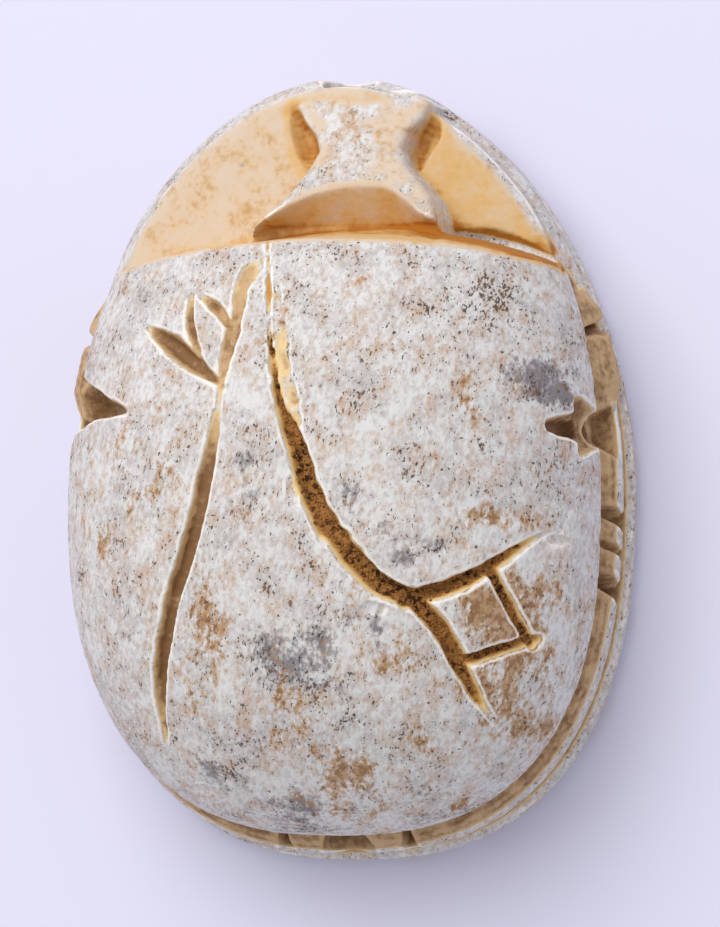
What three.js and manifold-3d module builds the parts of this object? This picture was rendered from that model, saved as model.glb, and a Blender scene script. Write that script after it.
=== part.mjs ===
// Scarab amulet: a beetle carved from one piece of soft stone, lying on its flat underside.
//
// Units are millimetres. +Z is up, +Y points to the beetle's head, and +X to the right-hand side
// as the beetle is seen from above with its head away from the viewer. The origin is in the
// middle of the flat underside.
//
// One solid carries everything: an oval base, a band of folded legs above it, the domed back with
// its grooves and shoulder notches, the head in front of it, and the lengthwise stringing hole.

import * as THREE from 'three';
import { mergeVertices } from 'three/addons/utils/BufferGeometryUtils.js';
import Module from 'manifold-3d';

const wasm = await Module();
wasm.setup();

// ---------------------------------------------------------------- driving dimensions

const LENGTH = 24.5;            // head to tail
const WIDTH = 17.9;             // across the base
const HEIGHT = 10.0;            // underside to the top of the back
const BASE_TOP = 1.3;           // upper edge of the base
const LEG_TOP = 3.05;           // upper edge of the leg band
const DOME_EDGE = 4.15;         // height of the crisp edge around the back
const DOME_INSET = 0.6;         // how far that edge lies inside the base, at the sides
const BORE_RADIUS = 0.8;        // stringing hole
const BORE_HEIGHT = 2.7;        // its middle above the underside

const AZIMUTH_STEPS = 84;
const DOME_RINGS = 13;

// An egg is two half-ovals, front and back. Each quarter has a fullness of its own: 2 is an
// ellipse and more is squarer. The hand-cut outline is not quite the same on both sides.
const BASE_EGG = {
  x: 0, y: -0.024 * LENGTH, side: WIDTH / 2, front: 0.524 * LENGTH, back: 0.476 * LENGTH,
  fullness: { frontRight: 1.87, frontLeft: 1.95, backLeft: 2.35, backRight: 2.5 },
};
const DOME_EGG = {
  x: 0, y: -0.053 * LENGTH, side: WIDTH / 2 - DOME_INSET, front: 0.515 * LENGTH, back: 0.417 * LENGTH,
  fullness: { frontRight: 2.3, frontLeft: 2.0, backLeft: 2.4, backRight: 2.6 },
};

// ---------------------------------------------------------------- shape functions

// The name of an egg's quarter, from the sign of the way across and the way along.
function quarter(across, along) {
  return (along >= 0 ? 'front' : 'back') + (across >= 0 ? 'Right' : 'Left');
}

// Distance from the middle of an egg to its outline in one direction.
function eggRadius(egg, angle) {
  const across = Math.cos(angle);
  const along = Math.sin(angle);
  const power = egg.fullness[quarter(across, along)];
  const half = along >= 0 ? egg.front : egg.back;
  return ((Math.abs(across) / egg.side) ** power + (Math.abs(along) / half) ** power) ** (-1 / power);
}

// Where the outline of an egg lies at one y, on the right (side 1) or the left (side -1).
function eggSide(egg, y, side) {
  const along = y - egg.y;
  const power = egg.fullness[quarter(side, along)];
  const half = along >= 0 ? egg.front : egg.back;
  return egg.x + side * egg.side * (1 - (Math.abs(along) / half) ** power) ** (1 / power);
}

// Closed ring of points around an egg at one height, scaled and then moved in or out.
function eggRing(egg, z, offset = 0, scale = 1) {
  return Array.from({ length: AZIMUTH_STEPS }, (_, i) => {
    const angle = (i / AZIMUTH_STEPS) * 2 * Math.PI;
    const radius = scale * eggRadius(egg, angle) + offset;
    return new THREE.Vector3(egg.x + radius * Math.cos(angle), egg.y + radius * Math.sin(angle), z);
  });
}

// The back is full and steep at its edge, and drops a little towards the head.
function domeHeight(x, y) {
  const dx = x - DOME_EGG.x;
  const dy = y - DOME_EGG.y;
  const reach = Math.min(Math.hypot(dx, dy) / eggRadius(DOME_EGG, Math.atan2(dy, dx)), 1);
  const forward = THREE.MathUtils.clamp(y / 7, 0, 1.4);
  const rise = HEIGHT - DOME_EDGE - 0.6 * forward ** 2;
  return DOME_EDGE + rise * (1 - reach ** 2.2) ** 0.55;
}

// In front of the shoulder wall two facets slope outwards and forwards, one on each side of the
// head, which sits a little to the right of the middle.
const HEAD_X = 1.0;
const FACET_TOP = 4.95;

function facetHeight(x, y) {
  return FACET_TOP - 0.17 * Math.abs(x - HEAD_X) - 0.1 * (y - 6.8);
}

// The upper edge of the shoulder wall bows forwards in the middle.
function shoulderEdge(x) {
  return 6.4 - 0.012 * (x - 0.4) ** 2;
}

function surfaceNormal(height, x, y) {
  const h = 0.02;
  const slopeX = (height(x + h, y) - height(x - h, y)) / (2 * h);
  const slopeY = (height(x, y + h) - height(x, y - h)) / (2 * h);
  return new THREE.Vector3(-slopeX, -slopeY, 1).normalize();
}

// ---------------------------------------------------------------- mesh helpers

// Closed surface through rings of equally many points. It faces outwards where each ring runs
// anticlockwise around the direction in which the rings advance.
function loft(rings) {
  const count = rings[0].length;
  const points = rings.flat();
  const middle = (ring) => ring.reduce((sum, p) => sum.add(p), new THREE.Vector3()).divideScalar(count);
  const start = points.push(middle(rings[0])) - 1;
  const end = points.push(middle(rings[rings.length - 1])) - 1;
  const last = (rings.length - 1) * count;
  const index = [];
  for (let i = 0; i < count; i++) {
    const j = (i + 1) % count;
    index.push(start, j, i, end, last + i, last + j);
    for (let base = 0; base < last; base += count) {
      index.push(base + i, base + j, base + count + j);
      index.push(base + i, base + count + j, base + count + i);
    }
  }
  const geometry = new THREE.BufferGeometry().setFromPoints(points);
  geometry.setIndex(index);
  return geometry;
}

function toSolid(geometry) {
  const bare = geometry.clone();
  bare.deleteAttribute('normal');
  bare.deleteAttribute('uv');
  const merged = mergeVertices(bare, 1e-4);
  return new wasm.Manifold(new wasm.Mesh({
    numProp: 3,
    vertProperties: new Float32Array(merged.attributes.position.array),
    triVerts: new Uint32Array(merged.index.array),
  }));
}

function toGeometry(solid) {
  const mesh = solid.getMesh();
  const geometry = new THREE.BufferGeometry();
  geometry.setAttribute('position', new THREE.BufferAttribute(mesh.vertProperties, 3));
  geometry.setIndex(new THREE.BufferAttribute(mesh.triVerts, 1));
  geometry.computeVertexNormals();
  return geometry;
}

// ---------------------------------------------------------------- body

// Base, leg band and back as one lofted form, from the underside to the top.
function bodySolid() {
  const side = [
    eggRing(BASE_EGG, 0, -0.25),
    eggRing(BASE_EGG, 0.3),
    eggRing(BASE_EGG, BASE_TOP - 0.25),
    eggRing(BASE_EGG, BASE_TOP, -0.2),
    eggRing(BASE_EGG, BASE_TOP + 0.25, -0.6),
    eggRing(BASE_EGG, BASE_TOP + 0.6, -0.35),
    eggRing(BASE_EGG, LEG_TOP - 0.45, -0.35),
    eggRing(BASE_EGG, LEG_TOP, -0.6),
    eggRing(DOME_EGG, DOME_EDGE - 0.4, -0.45),
    eggRing(DOME_EGG, DOME_EDGE - 0.2, -0.4),
    eggRing(DOME_EGG, DOME_EDGE),
  ];
  const back = Array.from({ length: DOME_RINGS }, (_, i) => {
    const scale = Math.cos(((i + 1) / (DOME_RINGS + 0.6)) * (Math.PI / 2));
    return eggRing(DOME_EGG, 0, 0, scale).map((p) => p.setZ(domeHeight(p.x, p.y)));
  });
  return toSolid(loft([...side, ...back]));
}

// ---------------------------------------------------------------- head and shoulders

// Everything above the facets and in front of the shoulder wall, in slices across the body.
function frontCutter() {
  const ceiling = HEIGHT + 1;
  const ahead = LENGTH / 2 + 1.5;
  const reach = WIDTH / 2 + 0.5;
  const slices = 20;
  const sections = Array.from({ length: slices + 1 }, (_, i) => {
    const x = reach * ((2 * i) / slices - 1);
    const edge = shoulderEdge(x);
    const lean = THREE.MathUtils.clamp(0.18 + 0.02 * x, 0.12, 0.24);
    const top = domeHeight(x, edge);
    const foot = edge + lean * (top - facetHeight(x, edge));
    return [
      new THREE.Vector3(x, foot, facetHeight(x, foot)),
      new THREE.Vector3(x, ahead, facetHeight(x, ahead)),
      new THREE.Vector3(x, ahead, ceiling),
      new THREE.Vector3(x, edge - lean * (ceiling - top), ceiling),
    ];
  });
  return toSolid(loft(sections));
}

// The head from the nape, over the narrow neck, to the rounded brow. Each station gives y, the
// left side, the right side and the height.
const HEAD_STATIONS = [
  [6.7, -2.4, 3.65, 6.2], [7.3, -1.9, 3.6, 6.2], [7.9, -1.15, 3.4, 6.1], [8.5, -0.7, 2.95, 5.9],
  [9.0, -0.4, 2.5, 5.6], [9.55, -0.2, 2.35, 5.25], [10.1, -0.4, 2.5, 4.95], [10.6, -0.8, 2.9, 4.65],
  [11.1, -1.1, 3.1, 4.35], [11.5, -0.8, 2.6, 4.0], [11.8, -0.3, 1.9, 3.4],
];

function headSolid() {
  const buried = 2.2;
  const sections = HEAD_STATIONS.map(([y, left, right, top]) => {
    const point = (x, z) => new THREE.Vector3(x, y, z);
    return [
      point(right + 0.15, buried), point(left - 0.15, buried), point(left, top - 0.3),
      point(left + 0.2, top), point((left + right) / 2, top + 0.12), point(right - 0.2, top),
      point(right, top - 0.3),
    ];
  });
  return toSolid(loft(sections));
}

// Curved crest of the head. Behind it a hollow facet falls to the foot of the shoulder wall.
const CREST = [[-2.5, 6.8], [-1.8, 7.25], [-1.0, 7.85], [-0.2, 8.3], [0.8, 8.6], [1.9, 8.6], [2.8, 8.2],
  [3.4, 7.5], [3.9, 7.1]];

function napeCutter() {
  const [floor, crestHeight, ceiling] = [5.15, 6.35, 7.2];
  return toSolid(loft(CREST.map(([x, y]) => {
    const foot = shoulderEdge(x) + 0.45;
    return [
      new THREE.Vector3(x, foot - 0.2, floor),
      new THREE.Vector3(x, foot + 0.35, floor),
      new THREE.Vector3(x, y, crestHeight),
      new THREE.Vector3(x, y, ceiling),
      new THREE.Vector3(x, foot - 0.45, ceiling),
    ];
  })));
}

// ---------------------------------------------------------------- grooves, notches and pits

// A groove follows a route over a surface. Each stop gives x, y, the width at the surface and the
// depth. The cutter is a flat-bottomed V that stands square to the surface.
function grooveSolid(height, { stops, steps }) {
  const curve = new THREE.CatmullRomCurve3(stops.map(([x, y]) => new THREE.Vector3(x, y, 0)));
  const last = stops.length - 1;
  const field = (t, n) => {
    const k = Math.min(Math.floor(t * last), last - 1);
    return THREE.MathUtils.lerp(stops[k][n], stops[k + 1][n], t * last - k);
  };
  const over = 0.8;
  const floorShare = 0.22;
  const flare = 0.5 + 0.3 * over;
  return toSolid(loft(Array.from({ length: steps + 1 }, (_, i) => {
    const t = i / steps;
    const { x, y } = curve.getPoint(t);
    const [width, depth] = [field(t, 2), field(t, 3)];
    const up = surfaceNormal(height, x, y);
    const left = new THREE.Vector3().crossVectors(up, curve.getTangent(t)).normalize();
    const surface = new THREE.Vector3(x, y, height(x, y));
    const corner = (aside, above) => surface.clone().addScaledVector(left, aside).addScaledVector(up, above);
    return [
      corner(-floorShare * width, -depth),
      corner(floorShare * width, -depth),
      corner(flare * width, over),
      corner(-flare * width, over),
    ];
  })));
}

const BACK_GROOVES = {
  // between the wing cases, from the shoulder wall down the back and off to the right
  suture: { steps: 16, stops: [[-0.95, 7.2, 0.25, 0.3], [-0.85, 4.8, 0.25, 0.3], [-0.75, 2.9, 0.3, 0.35],
    [-0.35, 1.4, 0.45, 0.4], [0.05, 0.0, 0.55, 0.45], [0.65, -1.7, 0.6, 0.5], [1.5, -3.15, 0.62, 0.5],
    [2.6, -4.2, 0.62, 0.5], [3.7, -4.7, 0.6, 0.5]] },
  forkUpper: { steps: 6, stops: [[3.3, -4.7, 0.55, 0.5], [5.2, -3.95, 0.5, 0.5], [7.25, -2.45, 0.12, 0.1]] },
  forkLower: { steps: 7, stops: [[3.5, -4.5, 0.6, 0.5], [4.4, -5.6, 0.6, 0.5], [4.95, -6.9, 0.5, 0.45],
    [5.55, -8.2, 0.12, 0.1]] },
  windowSide: { steps: 3, stops: [[5.7, -3.6, 0.4, 0.4], [6.75, -5.85, 0.4, 0.35]] },
  windowSill: { steps: 3, stops: [[4.8, -6.5, 0.4, 0.4], [6.9, -5.7, 0.4, 0.35]] },
  // the long cut down the left wing case
  longLeft: { steps: 12, stops: [[-2.4, 1.05, 0.3, 0.25], [-2.6, -0.2, 0.5, 0.45], [-3.2, -2.6, 0.55, 0.45],
    [-3.95, -4.7, 0.55, 0.45], [-4.5, -6.8, 0.5, 0.45], [-4.6, -9.1, 0.12, 0.1]] },
  // leaf-shaped cuts on the left shoulder
  leafStem: { steps: 5, stops: [[-4.95, 3.9, 0.1, 0.1], [-4.0, 3.3, 0.6, 0.4], [-2.15, 1.85, 0.25, 0.2]] },
  leafLeft: { steps: 3, stops: [[-3.4, 4.75, 0.2, 0.15], [-3.35, 4.0, 0.4, 0.3], [-3.1, 3.0, 0.3, 0.25]] },
  leafRight: { steps: 3, stops: [[-3.0, 4.7, 0.2, 0.15], [-2.5, 4.2, 0.4, 0.25], [-1.9, 3.6, 0.3, 0.2]] },
  leafBand: { steps: 6, stops: [[-1.4, 7.0, 0.5, 0.25], [-1.7, 5.2, 0.8, 0.25], [-2.0, 3.7, 0.6, 0.25],
    [-2.3, 1.9, 0.2, 0.1]] },
};

// The shoulder notches start high on the back and widen towards its edge.
const NOTCHES = {
  left: { steps: 5, stops: [[-5.35, 1.25, 0.3, 0.1], [-6.5, 1.5, 0.9, 0.7], [-8.25, 1.8, 2.0, 1.5]] },
  right: { steps: 5, stops: [[7.2, 0.95, 0.5, 0.3], [7.7, 1.1, 1.2, 0.9], [8.25, 1.3, 2.4, 1.5]] },
};

// Pits beside the neck and the trench at the foot of the shoulder wall, sunk into the facets.
const FACET_PITS = {
  neckLeft: { steps: 4, stops: [[-1.25, 11.0, 0.5, 0.1], [-0.85, 10.1, 0.9, 0.6], [-0.65, 9.1, 0.5, 0.2]] },
  neckRight: { steps: 4, stops: [[3.4, 10.8, 0.5, 0.1], [2.9, 10.0, 1.0, 0.6], [2.6, 9.0, 0.5, 0.3]] },
  trench: { steps: 4, stops: [[3.7, 6.7, 0.4, 0.2], [5.3, 6.5, 0.6, 0.4], [6.7, 6.2, 0.3, 0.2]] },
};

// ---------------------------------------------------------------- legs

// The folded legs are parted by cuts into the band between the base and the back. Each cut gives
// its place along the body, its width and depth, its upper end and how far it leans forwards.
const LEG_CUTS = [
  { y: 4.4, width: 0.4, depth: 0.4, low: 1.55, high: 3.5, lean: -0.5 },
  { y: 0.9, width: 2.0, depth: 0.9, low: 2.6, high: 4.0, lean: 0.0 },
  { y: -1.95, width: 0.55, depth: 0.6, low: 1.55, high: 3.9, lean: 0.5 },
  { y: -2.95, width: 0.35, depth: 0.45, low: 1.55, high: 3.4, lean: 0.4 },
  { y: -4.15, width: 0.6, depth: 0.7, low: 1.55, high: 3.9, lean: 0.6 },
];

function legCutSolid({ y, width, depth, low, high, lean }, side) {
  const slice = (inward, half) => {
    const x = eggSide(BASE_EGG, y, side) - side * inward;
    const ring = [[-half, low], [half, low], [half + lean, high], [-half + lean, high]].map(
      ([along, z]) => new THREE.Vector3(x, y + along, z));
    return side > 0 ? ring.reverse() : ring;
  };
  return toSolid(loft([slice(-0.5, width * 0.7), slice(0.35 + depth, width * 0.25)]));
}

// The hind legs end on both sides of the tail.
const TAIL_CUTS = [-1.8, 2.1];

function tailCutSolid(x) {
  const rear = BASE_EGG.y - BASE_EGG.back;
  const slice = (y, half) => [[-half, 2.0], [half, 2.0], [half, 3.9], [-half, 3.9]].map(
    ([across, z]) => new THREE.Vector3(x + across, y, z));
  return toSolid(loft([slice(rear + 1.15, 0.15), slice(rear - 0.5, 0.5)]));
}

// The stringing hole runs the whole length, from under the brow to the tail.
function boreSolid() {
  const bore = new THREE.CylinderGeometry(BORE_RADIUS, BORE_RADIUS, LENGTH + 2, 20);
  return toSolid(bore.translate(0.2, 0, BORE_HEIGHT));
}

// ---------------------------------------------------------------- assembly

function scarabGeometry() {
  const facetPits = Object.values(FACET_PITS).map((pit) => grooveSolid(facetHeight, pit));
  const backCuts = [...Object.values(BACK_GROOVES), ...Object.values(NOTCHES)];
  const cutters = [
    napeCutter(),
    ...backCuts.map((cut) => grooveSolid(domeHeight, cut)),
    ...LEG_CUTS.flatMap((cut) => [legCutSolid(cut, 1), legCutSolid(cut, -1)]),
    ...TAIL_CUTS.map(tailCutSolid),
    boreSolid(),
  ];
  const cut = (solid, cutter) => solid.subtract(cutter);
  const shoulders = [frontCutter(), ...facetPits].reduce(cut, bodySolid());
  return toGeometry(cutters.reduce(cut, shoulders.add(headSolid())));
}

const stone = new THREE.MeshStandardMaterial({ name: 'stone', color: 0xdad7d5, roughness: 0.75, metalness: 0 });
const scarab = new THREE.Mesh(scarabGeometry(), stone);
scarab.name = 'scarab';

const group = new THREE.Group();
group.add(scarab);

export default group;
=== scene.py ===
"""Looks of the scarab amulet: one carved, long-buried stone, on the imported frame.

The carving is worked out in millimetres as a block of signed distances, from the same driving sizes
as the solid, and turned into one closed mesh. A Geometry Nodes tree weathers that mesh and fills its
cuts with crumbs of soil, and its finish is a procedural stone. The finished mesh is in metres, in the
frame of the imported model.
"""

from __future__ import annotations

import logging
import math
from dataclasses import dataclass, field
from enum import Enum
from typing import Any, Callable

import bpy
import numpy as np
import openvdb as vdb
from mathutils import Matrix, Vector

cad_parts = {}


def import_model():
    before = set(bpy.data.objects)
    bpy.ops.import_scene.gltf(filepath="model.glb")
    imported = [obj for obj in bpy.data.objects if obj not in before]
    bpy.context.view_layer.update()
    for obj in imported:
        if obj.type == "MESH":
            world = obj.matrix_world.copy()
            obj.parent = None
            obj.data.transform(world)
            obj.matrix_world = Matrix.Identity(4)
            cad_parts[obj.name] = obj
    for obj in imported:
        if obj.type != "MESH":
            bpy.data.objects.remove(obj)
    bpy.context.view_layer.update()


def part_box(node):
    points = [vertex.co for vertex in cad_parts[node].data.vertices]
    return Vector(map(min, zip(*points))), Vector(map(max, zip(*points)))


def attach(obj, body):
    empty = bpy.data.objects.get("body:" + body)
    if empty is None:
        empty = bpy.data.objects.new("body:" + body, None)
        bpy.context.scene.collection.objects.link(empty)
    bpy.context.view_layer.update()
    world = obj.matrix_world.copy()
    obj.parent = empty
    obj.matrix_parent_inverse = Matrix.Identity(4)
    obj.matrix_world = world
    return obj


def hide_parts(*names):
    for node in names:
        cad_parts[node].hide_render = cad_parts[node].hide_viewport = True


LOG = logging.getLogger("scarab")
MM = 0.001
Array = np.ndarray


# ---- outlines and heights


@dataclass(frozen=True)
class Egg:
    """Oval outline made of four quarter super-ellipses around one middle.

    Args:
        y: Middle along the beetle.
        side: Half width.
        front: Length of the half towards the head.
        back: Length of the half towards the tail.
        fullness: Powers of the quarters front right, front left, back left and back right.
    """

    y: float
    side: float
    front: float
    back: float
    fullness: tuple[float, float, float, float]

    def radius(self, across: Array, along: Array) -> Array:
        """Distance from the middle to the outline, in the direction of each point."""
        front_right, front_left, back_left, back_right = self.fullness
        power = np.where(along >= 0, np.where(across >= 0, front_right, front_left),
                         np.where(across >= 0, back_right, back_left))
        half = np.where(along >= 0, self.front, self.back)
        length = np.maximum(np.hypot(across, along), 1e-9)
        share = (np.abs(across) / length / self.side) ** power + (np.abs(along) / length / half) ** power
        return share ** (-1 / power)

    def distance(self, x: Array, y: Array) -> Array:
        """How far each point lies outside the outline, along the ray from the middle."""
        return np.hypot(x, y - self.y) - self.radius(x, y - self.y)

    def reach(self, x: Array, y: Array) -> Array:
        """0 in the middle and 1 on the outline."""
        return np.hypot(x, y - self.y) / self.radius(x, y - self.y)


@dataclass(frozen=True)
class Form:
    """Main sizes of the beetle in millimetres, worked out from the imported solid's box.

    Args:
        length: Head to tail.
        width: Across the base.
        height: Underside to the top of the back.
    """

    length: float
    width: float
    height: float
    base_top: float = 1.3
    leg_top: float = 3.05
    dome_edge: float = 4.15
    dome_inset: float = 0.6
    head_x: float = 1.0
    facet_top: float = 4.95
    nape_floor: float = 5.15
    dome_power: float = 2.2
    crown_power: float = 0.55
    front_bulge: float = 0.2
    foreleg_bulge: float = 0.28
    bore_radius: float = 0.8
    bore_height: float = 2.7
    bore_x: float = 0.2

    @classmethod
    def of_node(cls, name: str) -> Form:
        """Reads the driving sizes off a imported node.

        Args:
            name: The node of the solid.

        Returns:
            The form, in millimetres.
        """
        low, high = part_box(name)
        size = (high - low) / MM
        return cls(length=size.y, width=size.x, height=size.z)

    @property
    def base(self) -> Egg:
        """Outline of the base."""
        return Egg(-0.024 * self.length, self.width / 2, 0.524 * self.length, 0.476 * self.length,
                   (1.87, 1.95, 2.35, 2.5))

    @property
    def dome(self) -> Egg:
        """Outline of the crisp edge around the back."""
        return Egg(-0.053 * self.length, self.width / 2 - self.dome_inset, 0.515 * self.length,
                   0.417 * self.length, (2.3, 2.0, 2.4, 2.6))

    def rise(self, y: Array) -> Array:
        """Height of the back's ridge over its edge: it drops a little towards the head."""
        return self.height - self.dome_edge - 0.6 * np.clip(y / 7, 0, 1.4) ** 2

    def back_height(self, x: Array, y: Array) -> Array:
        """Height of the uncut back."""
        reach = np.minimum(self.dome.reach(x, y), 1)
        return self.dome_edge + self.rise(y) * (1 - reach ** self.dome_power) ** self.crown_power

    def facet_height(self, x: Array, y: Array) -> Array:
        """Height of the two facets beside the head."""
        return self.facet_top - 0.17 * np.abs(x - self.head_x) - 0.1 * (y - 6.8)

    def shoulder_edge(self, x: Array) -> Array:
        """Where the upper edge of the shoulder wall lies along the beetle."""
        return 6.4 - 0.012 * (x - 0.4) ** 2

    def wall_distance(self, x: Array, y: Array, z: Array) -> Array:
        """How far each point lies in front of the leaning shoulder wall."""
        edge = self.shoulder_edge(x)
        lean = np.clip(0.18 + 0.02 * x, 0.12, 0.24)
        return y - edge - lean * (self.back_height(x, edge) - z)


# ---- cuts, chips and stains


class Surface(Enum):
    """The uncut surface that a cut is sunk into."""

    BACK = "back"
    FACET = "facet"


class Fill(Enum):
    """What has settled in a cut; its value names the mark that the finish reads. The dust mark also carries
    the leg band's painted shade, and the amber mark painted shade in the front's corners.
    """

    SOIL = "soil"
    DUST = "dust_and_shade"
    AMBER = "amber"


@dataclass(frozen=True)
class Cut:
    """A graver cut along a route, or a notch that widens along it.

    Args:
        stops: x, y, width at the surface and depth at each stop of the route.
        fill: What lies in it.
        surface: What it is sunk into.
        floor: Share of the width that is flat at the bottom.
        lean: How far the floor lies to the left of the route, as a share of the width.
        rough: How far its sides wander.
    """

    stops: tuple[tuple[float, float, float, float], ...]
    fill: Fill
    surface: Surface = Surface.BACK
    floor: float = 0.42
    lean: float = 0.0
    rough: float = 0.05

    def route(self, spacing: float) -> Array:
        """The stops joined by a smooth curve.

        Args:
            spacing: About how far apart the samples lie.

        Returns:
            Rows of x, y, width and depth.
        """
        knots = np.array(self.stops)
        ends = np.vstack([2 * knots[0] - knots[1], knots, 2 * knots[-1] - knots[-2]])
        rows = []
        for before, start, end, after in zip(ends, ends[1:], ends[2:], ends[3:]):
            count = max(2, int(np.hypot(*(end - start)[:2]) / spacing))
            for t in np.arange(count) / count:
                rows.append(0.5 * (2 * start + (end - before) * t
                                   + (2 * before - 5 * start + 4 * end - after) * t ** 2
                                   + (3 * start - before - 3 * end + after) * t ** 3))
        return np.vstack([rows, knots[-1:]])


BACK_CUTS = {
    "suture": Cut(((-1.15, 6.5, 0.14, 0.3), (-0.95, 4.8, 0.14, 0.26), (-0.75, 2.9, 0.16, 0.3),
                   (-0.42, 1.3, 0.36, 0.4), (0.1, 0.0, 0.68, 0.5), (0.65, -1.7, 0.78, 0.52),
                   (1.55, -3.1, 0.78, 0.52), (2.6, -4.2, 0.78, 0.52), (3.7, -4.75, 0.62, 0.5)),
                  Fill.SOIL, lean=0.16, rough=0.08),
    "fork_upper": Cut(((3.3, -4.7, 0.56, 0.5), (5.2, -3.95, 0.56, 0.5), (7.25, -2.45, 0.1, 0.05)),
                      Fill.SOIL, lean=0.16),
    "fork_lower": Cut(((3.5, -4.5, 0.62, 0.5), (4.4, -5.6, 0.66, 0.5), (4.95, -6.9, 0.54, 0.45),
                       (5.55, -8.2, 0.1, 0.05)), Fill.SOIL, lean=-0.08),
    "window_side": Cut(((5.7, -3.6, 0.46, 0.4), (6.75, -5.85, 0.4, 0.35)), Fill.SOIL),
    "window_sill": Cut(((4.8, -6.5, 0.46, 0.4), (6.9, -5.7, 0.38, 0.3)), Fill.SOIL, lean=0.14),
    "long_left": Cut(((-2.4, 1.05, 0.3, 0.12), (-2.6, -0.2, 0.5, 0.26), (-3.2, -2.6, 0.6, 0.42),
                      (-3.95, -4.7, 0.6, 0.42), (-4.5, -6.8, 0.52, 0.4), (-4.6, -9.1, 0.1, 0.05)),
                     Fill.DUST, floor=0.6),
    "leaf_stem": Cut(((-5.05, 3.95, 0.1, 0.05), (-4.5, 3.6, 0.5, 0.35), (-3.9, 3.15, 0.72, 0.48),
                      (-3.1, 2.55, 0.62, 0.42), (-2.2, 1.85, 0.2, 0.15)), Fill.DUST),
    "leaf_left": Cut(((-3.48, 4.75, 0.24, 0.12), (-3.45, 3.9, 0.36, 0.3), (-3.15, 3.0, 0.3, 0.25)),
                     Fill.DUST),
    "leaf_right": Cut(((-3.1, 4.7, 0.24, 0.12), (-2.6, 4.3, 0.4, 0.28), (-2.1, 3.7, 0.3, 0.22)),
                      Fill.DUST),
    "leaf_band": Cut(((-1.3, 5.8, 0.6, 0.08), (-1.55, 5.45, 0.7, 0.14), (-1.85, 4.9, 0.52, 0.18),
                      (-1.86, 4.2, 0.4, 0.2), (-2.0, 3.6, 0.5, 0.22), (-2.18, 2.8, 0.46, 0.22),
                      (-2.28, 2.1, 0.3, 0.18), (-2.36, 1.1, 0.16, 0.1)), Fill.DUST, floor=0.7),
    "flake": Cut(((-0.72, 5.0, 0.2, 0.04), (-0.62, 4.2, 0.4, 0.08), (-0.48, 3.4, 0.56, 0.1),
                  (-0.44, 2.6, 0.5, 0.11), (-0.2, 1.6, 0.58, 0.13), (0.05, 0.7, 0.44, 0.12)),
                 Fill.DUST, floor=0.85, rough=0.08),
    "hairline": Cut(((4.8, -1.0, 0.1, 0.07), (4.65, -1.35, 0.1, 0.09), (4.85, -1.95, 0.1, 0.09),
                     (4.98, -2.4, 0.1, 0.08), (5.05, -3.1, 0.1, 0.05)), Fill.DUST, rough=0.03),
    "scratch": Cut(((7.95, -1.0, 0.12, 0.07), (7.6, -2.2, 0.12, 0.09), (7.35, -2.75, 0.12, 0.06)),
                   Fill.DUST, rough=0.03),
}
NOTCHES = {
    "notch_left": Cut(((-5.5, 1.28, 0.24, 0.1), (-6.1, 1.42, 0.6, 0.5), (-6.9, 1.6, 1.05, 0.9),
                       (-8.25, 1.8, 2.4, 1.5)), Fill.DUST, floor=0.3),
    "notch_right": Cut(((7.3, 0.75, 0.5, 0.4), (7.9, 0.8, 0.9, 0.9), (9.4, 0.95, 1.5, 1.6)), Fill.DUST,
                       floor=0.3),
}
FACET_PITS = {
    "neck_left": Cut(((-1.25, 11.0, 0.5, 0.1), (-0.85, 10.1, 0.9, 0.6), (-0.65, 9.1, 0.5, 0.2)),
                     Fill.AMBER, Surface.FACET, floor=0.3),
    "neck_right": Cut(((3.4, 10.8, 0.5, 0.1), (2.9, 10.0, 1.0, 0.6), (2.6, 9.0, 0.5, 0.3)),
                      Fill.AMBER, Surface.FACET, floor=0.3),
    "trench": Cut(((3.7, 6.9, 0.5, 0.25), (5.2, 6.75, 0.7, 0.5), (6.8, 6.25, 0.3, 0.2)),
                  Fill.AMBER, Surface.FACET, floor=0.3),
}


@dataclass(frozen=True)
class Chip:
    """A shallow flake off the back: its place, half width, half length and depth."""

    x: float
    y: float
    wide: float
    long: float
    depth: float


CHIPS = (
    Chip(5.9, -2.1, 0.85, 0.42, 0.07), Chip(7.45, -2.7, 0.3, 0.16, 0.1), Chip(0.95, -2.75, 0.24, 0.3, 0.16),
    Chip(2.4, -4.85, 0.5, 0.2, 0.12), Chip(0.05, -1.3, 0.25, 0.5, 0.12), Chip(6.55, 6.2, 0.25, 0.12, 0.1),
    Chip(-3.6, -10.1, 0.5, 0.16, 0.08),
)


@dataclass(frozen=True)
class LegCut:
    """A wedge-shaped cut between two folded legs: its place along the body, width, depth, lower
    and upper end, and how far it leans forwards on its way up."""

    y: float
    width: float
    depth: float
    low: float
    high: float
    lean: float


LEG_CUTS = (
    LegCut(4.4, 0.4, 0.4, 1.55, 3.5, -0.5), LegCut(0.9, 1.5, 0.7, 2.4, 3.6, 0.0),
    LegCut(-1.95, 0.55, 0.6, 1.55, 3.9, 0.5), LegCut(-2.95, 0.35, 0.45, 1.55, 3.4, 0.4),
    LegCut(-4.15, 0.6, 0.7, 1.55, 3.9, 0.6),
)
TAIL_CUTS = (-1.8, 2.1)

# y, left side, right side and top of the head, from the nape to its front
HEAD_STATIONS = (
    (6.7, -2.4, 3.65, 6.2), (7.3, -1.9, 3.6, 6.2), (7.9, -1.15, 3.4, 6.1), (8.5, -0.7, 2.95, 5.9),
    (9.0, -0.4, 2.5, 5.6), (9.55, -0.2, 2.35, 5.25), (10.1, -0.4, 2.5, 4.95), (10.6, -0.8, 2.9, 4.65),
    (11.1, -1.1, 3.1, 4.35), (11.5, -0.8, 2.6, 4.0), (11.8, -0.3, 1.9, 3.4),
)
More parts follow.
